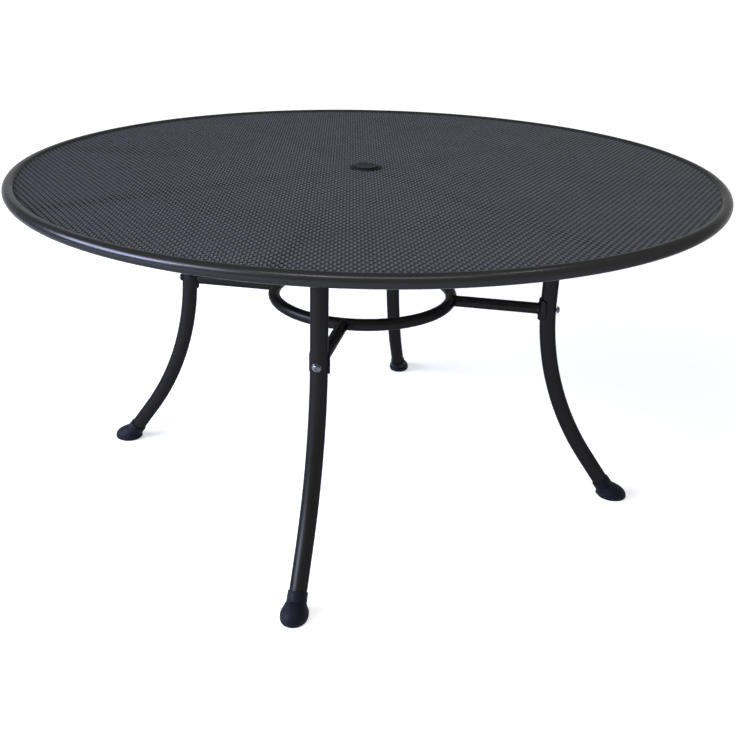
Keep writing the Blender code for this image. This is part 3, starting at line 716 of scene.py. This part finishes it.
# Moulded polypropylene: black, half matt, with a fine spark-eroded grain that dulls its shine
moulded_plastic, plastic_shader = new_material("moulded_black_polypropylene")
plastic_place = add_node(moulded_plastic, "ShaderNodeTexCoord").outputs["Object"]
grain_mm = 0.7
grain = add_node(moulded_plastic, "ShaderNodeTexNoise", {"Scale": 1000 / grain_mm, "Detail": 3.0},
                 {"Vector": plastic_place})
scuffs = add_node(moulded_plastic, "ShaderNodeTexNoise", {"Scale": 90.0, "Detail": 6.0},
                  {"Vector": plastic_place})
plastic_colour = add_node(moulded_plastic, "ShaderNodeMixRGB",
                          {"Color1": linear("#0a0b0e"), "Color2": linear("#15171b")},
                          {"Fac": scuffs.outputs["Fac"]})
plastic_gloss = add_node(moulded_plastic, "ShaderNodeMapRange", {"To Min": 0.62, "To Max": 0.80},
                         {"Value": scuffs.outputs["Fac"]})
plastic_bump = add_node(moulded_plastic, "ShaderNodeBump", {"Strength": 0.3, "Distance": 0.0001},
                        {"Height": grain.outputs["Fac"]})
plastic_shader.inputs["IOR"].default_value = 1.49
plastic_shader.inputs["Specular IOR Level"].default_value = 0.07
wire(moulded_plastic, plastic_shader, plastic_colour, plastic_gloss, plastic_bump)

ring_low, ring_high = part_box("hole_ring")
flange_radius = ring_high.x
# The ring, its cap and the washers' bores keep this clearance
clearance = 0.0003
flange_under = collar_high.z + clearance
flange_edge = 0.0006
sleeve_radius = collar_bore - clearance
ring_bore = 0.022
# The ring's lower end narrows to both sides, so that it finds its way into the collar
lead_in = 0.0015
lead_in_width = 0.0012
ring_profile = ([(ring_bore, ring_low.z + lead_in)]
                + [(ring_bore, ring_high.z - flange_edge)]
                + fillet(ring_bore + flange_edge, ring_high.z - flange_edge, flange_edge, 180, 90)
                + fillet(flange_radius - flange_edge, ring_high.z - flange_edge, flange_edge, 90, 0)
                + [(flange_radius, flange_under), (sleeve_radius, flange_under),
                   (sleeve_radius, ring_low.z + lead_in), (sleeve_radius - lead_in_width, ring_low.z),
                   (ring_bore + lead_in_width, ring_low.z), (ring_bore, ring_low.z + lead_in)])
guard_ring = turned("parasol_ring", ring_profile, 96)
close_up(guard_ring)
dress(guard_ring, moulded_plastic, slot="black_plastic", nodes=["hole_ring"])

# The cap is a thin disc with a shallow dish in its top and a hollow plug below. A low bead runs
# round the plug near its end, a hair short of the ring's bore.
cap_low, cap_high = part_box("hole_cap")
cap_under = ring_high.z + clearance
cap_radius = cap_high.x
cap_edge = 0.0005
dish_floor = cap_high.z - 0.0005
dish_radius = cap_radius * 0.72
dish_edge_radius = cap_radius * 0.80
plug_radius = ring_bore - 0.0005
plug_wall = 0.002
plug_roof = cap_under - 0.0004
bead_height = 0.0002
bead_above = cap_low.z + 0.0035
bead_middle = cap_low.z + 0.0022
plug_taper = 0.0006
cap_profile = ([(pole_radius, dish_floor), (dish_radius, dish_floor), (dish_edge_radius, cap_high.z)]
               + fillet(cap_radius - cap_edge, cap_high.z - cap_edge, cap_edge, 90, 0)
               + [(cap_radius, cap_under), (plug_radius, cap_under), (plug_radius, bead_above),
                  (plug_radius + bead_height, bead_middle), (plug_radius - plug_taper, cap_low.z),
                  (plug_radius - plug_wall, cap_low.z), (plug_radius - plug_wall, plug_roof),
                  (pole_radius, plug_roof)])
cap = turned("parasol_cap", cap_profile, 96)
close_poles((dish_floor, plug_roof))
close_up(cap)
dress(cap, moulded_plastic, body="cap", slot="black_plastic", nodes=["hole_cap"])


# Legs: round steel tube of 35 by 1.6 mm, bent cold. The top end lies flat in its socket, and the
# tube turns down, stands upright, and sweeps outwards to the floor.
leg_tube = 0.035
leg_wall = 0.0016
leg_top = 0.6991
leg_reach = 0.600
leg_stand = 0.417
top_bend = 0.105
sweep_radius = 0.630
sweep_angle = math.radians(35.5)
sweep_height = 0.4667
leg_end_height = 0.0252
leg = tube_ring("leg", (leg_reach, 0, leg_top), (0, quarter_turn, 0), leg_tube / 2, 40)
bpy.ops.mesh.extrude_edges_move(
    TRANSFORM_OT_translate={"value": (leg_stand + top_bend - leg_reach, 0, 0)})
bpy.ops.mesh.spin(steps=20, angle=quarter_turn, axis=(0, 1, 0),
                  center=(leg_stand + top_bend, 0, leg_top - top_bend))
bpy.ops.mesh.extrude_edges_move(
    TRANSFORM_OT_translate={"value": (0, 0, sweep_height - leg_top + top_bend)})
bpy.ops.mesh.spin(steps=28, angle=sweep_angle, axis=(0, 1, 0),
                  center=(leg_stand + sweep_radius, 0, sweep_height))
sweep_end = Vector((leg_stand + sweep_radius * (1 - math.cos(sweep_angle)), 0,
                    sweep_height - sweep_radius * math.sin(sweep_angle)))
foot_run = (sweep_end.z - leg_end_height) / math.cos(sweep_angle)
foot_way = Vector((math.sin(sweep_angle), 0, -math.cos(sweep_angle)))
bpy.ops.mesh.extrude_edges_move(TRANSFORM_OT_translate={"value": foot_way * foot_run})
outside_out()
modify(leg, "SOLIDIFY", thickness=leg_wall, offset=-1)
dress_round(leg, "bent_leg", "leg", sides, coated_tube)


# Leg bolts: M8 hexagon bolts of zinc-plated steel. Each goes up through the leg's end, its socket
# and the arm, into a nut welded inside the arm.
# Zinc-plated steel: bright silver grey, with the soft cloudy shine of barrel plating
def zinc_plated(name, dark, light, gloss_low, gloss_high, clouds_per_metre, dents):
    """Plated steel whose colour, shine and fine dents all follow the plating's clouds."""
    material, shader = new_material(name)
    place = add_node(material, "ShaderNodeTexCoord").outputs["Object"]
    cloud = add_node(material, "ShaderNodeTexNoise", {"Scale": clouds_per_metre, "Detail": 4.0},
                     {"Vector": place}).outputs["Fac"]
    colour = add_node(material, "ShaderNodeMixRGB", {"Color1": linear(dark), "Color2": linear(light)},
                      {"Fac": cloud})
    gloss = add_node(material, "ShaderNodeMapRange", {"To Min": gloss_low, "To Max": gloss_high},
                     {"Value": cloud})
    bump = None
    if dents:
        bump = add_node(material, "ShaderNodeBump", {"Strength": dents, "Distance": 0.00008},
                        {"Height": cloud})
    shader.inputs["Metallic"].default_value = 1.0
    wire(material, shader, colour, gloss, bump)
    return material


zinc_steel = zinc_plated("zinc_plated_steel", "#a7abb0", "#d3d5d8", 0.20, 0.38, 420.0, 0.15)
bolt_low, bolt_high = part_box("leg_bolt_right")
bolt_radius = (bolt_low.x + bolt_high.x) / 2
head_across = 0.013
head_height = 0.0053
head_chamfer = 0.93
head_face_margin = 0.0012
shank = 0.008
deselect()
bpy.ops.mesh.primitive_cylinder_add(
    vertices=6, radius=head_across / 2 / math.cos(math.pi / 6), depth=head_height,
    location=(bolt_radius, 0, bolt_low.z + head_height / 2))
leg_bolt = settle("leg_bolt")
edit(leg_bolt)
pick("VERT", lambda p: p.z < bolt_low.z + near)
bpy.ops.transform.resize(value=(head_chamfer, head_chamfer, 1),
                         center_override=(bolt_radius, 0, bolt_low.z))
pick("FACE", lambda p: p.z < bolt_low.z + near)
bpy.ops.mesh.inset(thickness=head_face_margin)
pick("FACE", lambda p: p.z > bolt_low.z + head_height - near)
bpy.ops.mesh.inset(thickness=(head_across - shank) / 2)
bpy.ops.mesh.extrude_region_move(
    TRANSFORM_OT_translate={"value": (0, 0, bolt_high.z - bolt_low.z - head_height)})
break_edges(leg_bolt, 0.0004, sharp=35)
dress_round(leg_bolt, "hex_bolt", "leg_bolt", sides, zinc_steel, slot="zinc_steel")
# The weld nuts and the stretchers' inserts keep their plain solids, because nothing shows them
for name in sides:
    for hidden in (f"weld_nut_{name}", f"stretcher_insert_{name}"):
        frame["nodes"][hidden].data.materials.clear()
        frame["nodes"][hidden].data.materials.append(zinc_steel)


# Brace ring: round tube of 26 mm rolled to a ring, between the legs. Four stretchers of 25 mm
# tube are notched to it and welded on, and reach out to the legs.
brace_low, brace_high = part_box("brace_ring")
brace_tube = brace_high.z - brace_low.z
brace_height = (brace_low.z + brace_high.z) / 2
brace_radius = brace_high.x - brace_tube / 2
brace_drain_radius = 0.0025
deselect()
bpy.ops.mesh.primitive_torus_add(major_segments=144, minor_segments=24, major_radius=brace_radius,
                                 minor_radius=brace_tube / 2, location=(0, 0, brace_height))
brace_ring = settle("brace_hoop")
drill_drain(brace_ring, Vector((brace_radius, 0, brace_low.z)), brace_drain_radius, brace_tube / 2)
dress(brace_ring, coated_tube, nodes=["brace_ring"])

stretcher_tube = 0.025
saddle_low, saddle_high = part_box("saddle_right")
saddle_outer = leg_stand - saddle_low.x
half_stretcher = stretcher_tube / 2
# How deep the notched end reaches into the ring's side
notch = 0.004
stretcher = tube_ring("stretcher", (brace_radius + brace_tube / 2 - notch, 0, brace_height),
                      (0, quarter_turn, 0), half_stretcher, 32)
bpy.ops.mesh.extrude_edges_move(TRANSFORM_OT_translate={
    "value": (leg_stand - leg_tube / 2 - brace_radius - brace_tube / 2, 0, 0)})
outside_out()
modify(stretcher, "SOLIDIFY", thickness=leg_wall, offset=-1)
dress_round(stretcher, "stretcher_tube", "stretcher", sides, coated_tube)


def brace_face(y, z):
    """Distance from the table's middle to the brace ring's outer side, along a stretcher."""
    return math.sqrt((brace_radius + math.sqrt((brace_tube / 2) ** 2 - z ** 2)) ** 2 - y ** 2)


around = [(half_stretcher * math.cos(turn), half_stretcher * math.sin(turn))
          for turn in spread(0, math.tau, 0.08)]
notch_weld_proud = 0.0006
hoop_weld = weld("hoop_weld", [(brace_face(y, z) + notch_weld_proud, y, brace_height + z)
                               for y, z in around])
saddle_weld = weld("saddle_weld", [
    (leg_stand - math.sqrt(saddle_outer ** 2 - y ** 2) - notch_weld_proud, y, brace_height + z)
    for y, z in around])
weld_round(hoop_weld, "hoop_weld", sides)
weld_round(saddle_weld, "saddle_weld", sides)


# Saddles: plates of 3.5 mm steel pressed round to the legs and welded to the stretchers' ends.
# Each hugs the inner side of its leg, and its corners are rounded.
saddle_wall = 0.0035
saddle_reach = math.radians(80)
saddle_inner = saddle_outer - saddle_wall
saddle_step = math.radians(5)
saddle = tube_ring("saddle", (leg_stand, 0, saddle_low.z), (0, 0, 0), saddle_inner, 72)
pick("VERT", lambda p: p.x > leg_stand - saddle_inner * math.cos(saddle_reach) + near)
bpy.ops.mesh.delete(type="VERT")
bpy.ops.mesh.select_all(action="SELECT")
bpy.ops.mesh.extrude_edges_move(
    TRANSFORM_OT_translate={"value": (0, 0, saddle_high.z - saddle_low.z)})
# The corners are rounded by drawing in the last four rows of points at each side
for row, inset in enumerate((0.0080, 0.0031, 0.0015, 0.0005)):
    row_x = leg_stand - saddle_inner * math.cos(saddle_reach - row * saddle_step)
    for end, way in ((saddle_low.z, 1), (saddle_high.z, -1)):
        pick("VERT", lambda p: abs(p.x - row_x) < near and abs(p.z - end) < near)
        move(z=way * inset)
outside_out()
modify(saddle, "SOLIDIFY", thickness=saddle_wall, offset=-1)
break_edges(saddle, 0.0005)
dress_round(saddle, "saddle_plate", "saddle", sides, coated_tube)


# Brace bolts: domed M8 bolts with a washer, through leg and saddle into the threaded insert of
# each stretcher, turned with a key in the hexagon socket of the head.
# Black zinc-plated steel: dark with a metal's shine, so the domed heads catch one small light
black_zinc = zinc_plated("black_zinc_plated_steel", "#4a4b51", "#6a6b72", 0.16, 0.26, 380.0, 0)


def lay_outwards(piece, x):
    """Turn a piece from the Z axis to the X axis, at the brace's height and a distance out."""
    piece.rotation_euler = (0, quarter_turn, 0)
    piece.location = (x, 0, brace_height)
    take(piece)
    bpy.ops.object.transform_apply()


brace_bolt_low, brace_bolt_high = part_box("brace_bolt_right")
dome_radius = (brace_bolt_high.y - brace_bolt_low.y) / 2
dome_height = 0.0050
dome_edge = 0.0014
dome_steps = 8
dome_seat = brace_bolt_high.x - dome_height
shank_end = brace_bolt_low.x - dome_seat
seat_edge = 0.0003
dome_profile = [(pole_radius, dome_height)]
for i in range(1, dome_steps + 1):
    lean = quarter_turn * i / dome_steps
    dome_profile.append((dome_radius * math.sin(lean),
                         dome_edge + (dome_height - dome_edge) * math.cos(lean)))
dome_profile += [(dome_radius, seat_edge), (dome_radius - seat_edge, 0), (shank / 2, 0),
                 (shank / 2, shank_end), (pole_radius, shank_end)]
brace_bolt = turned("brace_bolt", dome_profile, 36)
close_poles((dome_height, shank_end))
close_up(brace_bolt)
key_radius = 0.0029
key_depth = 0.0025
bpy.ops.mesh.primitive_cylinder_add(vertices=6, radius=key_radius, depth=2 * key_depth,
                                    location=(0, 0, dome_height))
key_socket = settle("key_socket")
modify(brace_bolt, "BOOLEAN", operation="DIFFERENCE", solver="EXACT", object=key_socket)
bpy.data.objects.remove(key_socket, do_unlink=True)
clean(brace_bolt)
lay_outwards(brace_bolt, dome_seat)
dress_round(brace_bolt, "dome_bolt", "brace_bolt", sides, black_zinc, slot=None)

washer_low, washer_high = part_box("brace_washer_right")
washer_radius = 0.009
washer_bevel = 0.0003
washer_bore = shank / 2 + clearance
half_thick = (washer_high.x - washer_low.x) / 2
washer = turned("washer", [(washer_bore, half_thick), (washer_radius - washer_bevel, half_thick),
                           (washer_radius, half_thick - washer_bevel),
                           (washer_radius, washer_bevel - half_thick),
                           (washer_radius - washer_bevel, -half_thick),
                           (washer_bore, -half_thick), (washer_bore, half_thick)], 36)
close_up(washer)
lay_outwards(washer, (washer_low.x + washer_high.x) / 2)
dress_round(washer, "flat_washer", "brace_washer", sides, black_zinc, slot=None)


# Boots: black rubber mouldings pushed over the legs' ends. An oval pad stands flat on the floor
# and narrows into a sleeve with a thick lip, and a shallow groove runs round the pad.
# Moulded rubber: bluish black and matt, with a fine skin and floor dust low on the pad
moulded_rubber, rubber_shader = new_material("moulded_black_rubber")
rubber_place = add_node(moulded_rubber, "ShaderNodeTexCoord").outputs["Object"]
skin_mm = 1.4
rubber_skin = add_node(moulded_rubber, "ShaderNodeTexNoise", {"Scale": 1000 / skin_mm, "Detail": 4.0},
                       {"Vector": rubber_place})
rubber_folds = add_node(moulded_rubber, "ShaderNodeTexNoise", {"Scale": 110.0, "Detail": 2.0},
                        {"Vector": rubber_place})
rubber_height = add_node(moulded_rubber, "ShaderNodeSeparateXYZ", {}, {"Vector": rubber_place})
floor_dust = add_node(moulded_rubber, "ShaderNodeMapRange",
                      {"From Min": 0.012, "From Max": 0.0, "To Min": 0.0, "To Max": 0.20},
                      {"Value": rubber_height.outputs["Z"]})
dusty_skin = add_node(moulded_rubber, "ShaderNodeMath", {"operation": "MULTIPLY"},
                      {0: floor_dust.outputs[0], 1: rubber_folds.outputs["Fac"]})
rubber_colour = add_node(moulded_rubber, "ShaderNodeMixRGB",
                         {"Color1": linear("#0a0d15"), "Color2": linear("#4a4845")},
                         {"Fac": dusty_skin.outputs[0]})
rubber_gloss = add_node(moulded_rubber, "ShaderNodeMapRange", {"To Min": 0.46, "To Max": 0.66},
                        {"Value": rubber_folds.outputs["Fac"]})
rubber_dents = add_node(moulded_rubber, "ShaderNodeBump", {"Strength": 0.6, "Distance": 0.0012},
                        {"Height": rubber_folds.outputs["Fac"]})
rubber_bump = add_node(moulded_rubber, "ShaderNodeBump", {"Strength": 0.35, "Distance": 0.0003},
                       {"Height": rubber_skin.outputs["Fac"], "Normal": rubber_dents.outputs["Normal"]})
rubber_shader.inputs["IOR"].default_value = 1.52
rubber_shader.inputs["Specular IOR Level"].default_value = 0.08
wire(moulded_rubber, rubber_shader, rubber_colour, rubber_gloss, rubber_bump)

foot_low, foot_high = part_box("foot_right")
floor_radius = sweep_end.x + sweep_end.z * math.tan(sweep_angle)
# The sleeve's wall, and how far the pad stands out past the sleeve along and across the leg
boot_wall = 0.0025
pad_along = 0.0095
pad_across = 0.0078
boot_radius = leg_tube / 2 + boot_wall
pad_length = boot_radius / math.cos(sweep_angle) + pad_along
pad_width = boot_radius + pad_across
# Places along the leg's centreline, up from the floor: the leg's cut end, the end of the bore just
# under it, the start of the sleeve and its mouth
leg_end = leg_end_height / math.cos(sweep_angle)
bore_end = leg_end - 0.0004
sleeve_start = leg_end - 0.0011
sleeve_top = 0.050
lip = 0.0010


def foot_axis(distance):
    """A point on the leg's centreline, at a distance up from the floor."""
    return Vector((floor_radius, 0, foot_low.z)) - foot_way * distance


# Rings from the floor up: the height and lean of each as shares of the sleeve's start, and how
# far it swells from the sleeve's size to the pad's
pad_rings = ((0.00, 0.00, 0.70), (0.04, 0.00, 0.83), (0.13, 0.00, 0.945), (0.235, 0.03, 0.985),
             (0.262, 0.05, 0.955), (0.290, 0.07, 0.955), (0.317, 0.10, 0.990), (0.42, 0.20, 0.985),
             (0.53, 0.32, 0.90), (0.65, 0.47, 0.70), (0.77, 0.65, 0.43), (0.88, 0.84, 0.21),
             (0.955, 0.94, 0.10), (0.975, 0.97, -0.03), (1.00, 1.00, -0.03))
pad_outset = 0.002
pad_centre = floor_radius + pad_outset
sleeve_low = foot_axis(sleeve_start)
boot_rings = []
for lift, lean, swell in pad_rings:
    boot_rings.append((Vector((pad_centre + (sleeve_low.x - pad_centre) * lift ** 2, 0,
                               foot_low.z + (sleeve_low.z - foot_low.z) * lift)), sweep_angle * lean,
                       boot_radius + (pad_length - boot_radius) * swell,
                       boot_radius + (pad_width - boot_radius) * swell))
# Rings of the sleeve: where each lies along the leg, and how much wider than the boot's radius
sleeve_rings = ((sleeve_start + 0.0014, 0.0004), (sleeve_start + 0.0060, 0),
                (sleeve_top - 0.0042, -0.0001), (sleeve_top - 0.0036, -lip / 2),
                (sleeve_top - 0.0030, 0), (sleeve_top - 0.0006, 0), (sleeve_top, -lip),
                (sleeve_top, 0.0004 - boot_wall), (bore_end, 0.0002 - boot_wall))
for distance, wider in sleeve_rings:
    boot_rings.append((foot_axis(distance), sweep_angle, boot_radius + wider, boot_radius + wider))

# Each ring after the first is joined to the one below it
boot_sides = 48
deselect()
for number, (centre, lean, half_length, half_width) in enumerate(boot_rings):
    if number == 0:
        bpy.ops.mesh.primitive_circle_add(vertices=boot_sides, radius=1, fill_type="NGON",
                                          location=centre)
        boot = settle("boot")
        edit(boot)
    else:
        bpy.ops.mesh.primitive_circle_add(vertices=boot_sides, radius=1, location=centre)
    bpy.ops.transform.resize(value=(half_length, half_width, 1), center_override=centre)
    if number == 0:
        continue
    bpy.ops.transform.rotate(value=lean, orient_axis="Y", center_override=centre)
    bpy.ops.mesh.select_mode(type="VERT")
    bm = bmesh.from_edit_mesh(boot.data)
    bm.verts.ensure_lookup_table()
    for vert in bm.verts[(number - 1) * boot_sides:]:
        vert.select_set(True)
    bm.select_flush_mode()
    bmesh.update_edit_mesh(boot.data)
    bpy.ops.mesh.select_mode(type="EDGE")
    bpy.ops.mesh.bridge_edge_loops()
outside_out()
modify(boot, "SUBSURF", levels=1, render_levels=1)
# The bore's open end gets its floor, on which the leg stands
edit(boot)
bpy.ops.mesh.select_all(action="DESELECT")
bpy.ops.mesh.select_non_manifold()
bpy.ops.mesh.edge_face_add()
dress_round(boot, "rubber_boot", "foot", sides, moulded_rubber, slot="black_rubber", smooth=50)


deselect()
